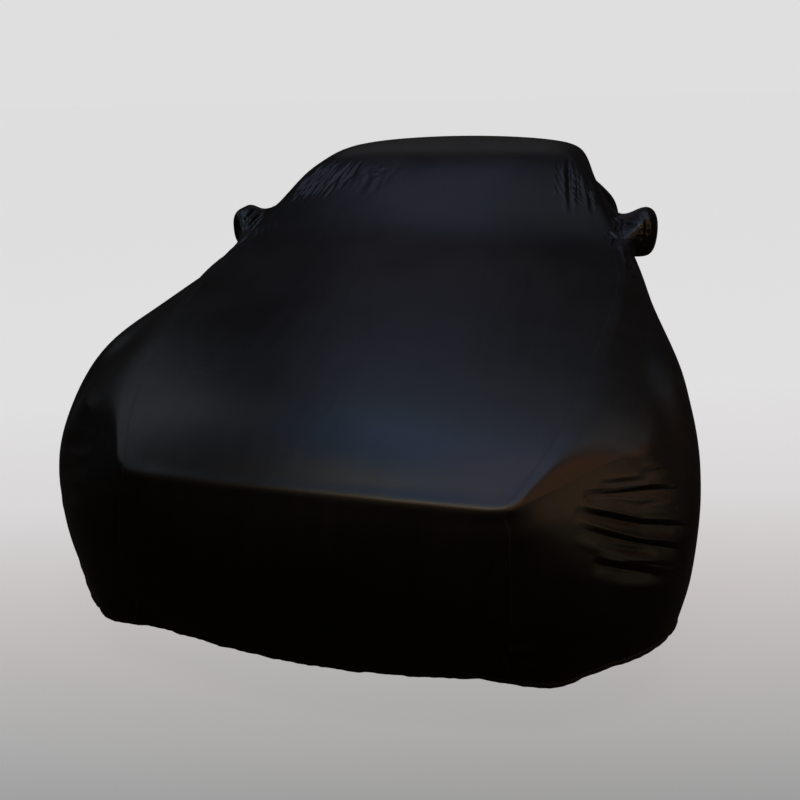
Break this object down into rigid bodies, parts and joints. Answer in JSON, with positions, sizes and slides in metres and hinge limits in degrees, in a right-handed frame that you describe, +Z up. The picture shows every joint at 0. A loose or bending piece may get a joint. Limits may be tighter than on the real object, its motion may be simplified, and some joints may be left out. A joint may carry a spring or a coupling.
{
  "type": "car cover",
  "caption": "Fitted stretch-cloth cover for a low coupe, hollow and open underneath, with pockets for the door mirrors and a gathered hem.",
  "frame": {"origin": "under the cloth of the roof, on the centre line, where the car carries the cover", "axes": "+X is the car's left side, +Y runs from the nose to the tail, +Z is up"},
  "size_m": [2.0094, 4.4208, 1.1147],
  "materials": {
    "cover_cloth": "black stretch satin with a soft sheen"
  },
  "bodies": {
    "root": {"centre_panel": "cover_cloth", "side_panel_left": "cover_cloth", "side_panel_right": "cover_cloth", "mirror_pocket_left": "cover_cloth", "mirror_pocket_right": "cover_cloth"}
  },
  "joints": []
}
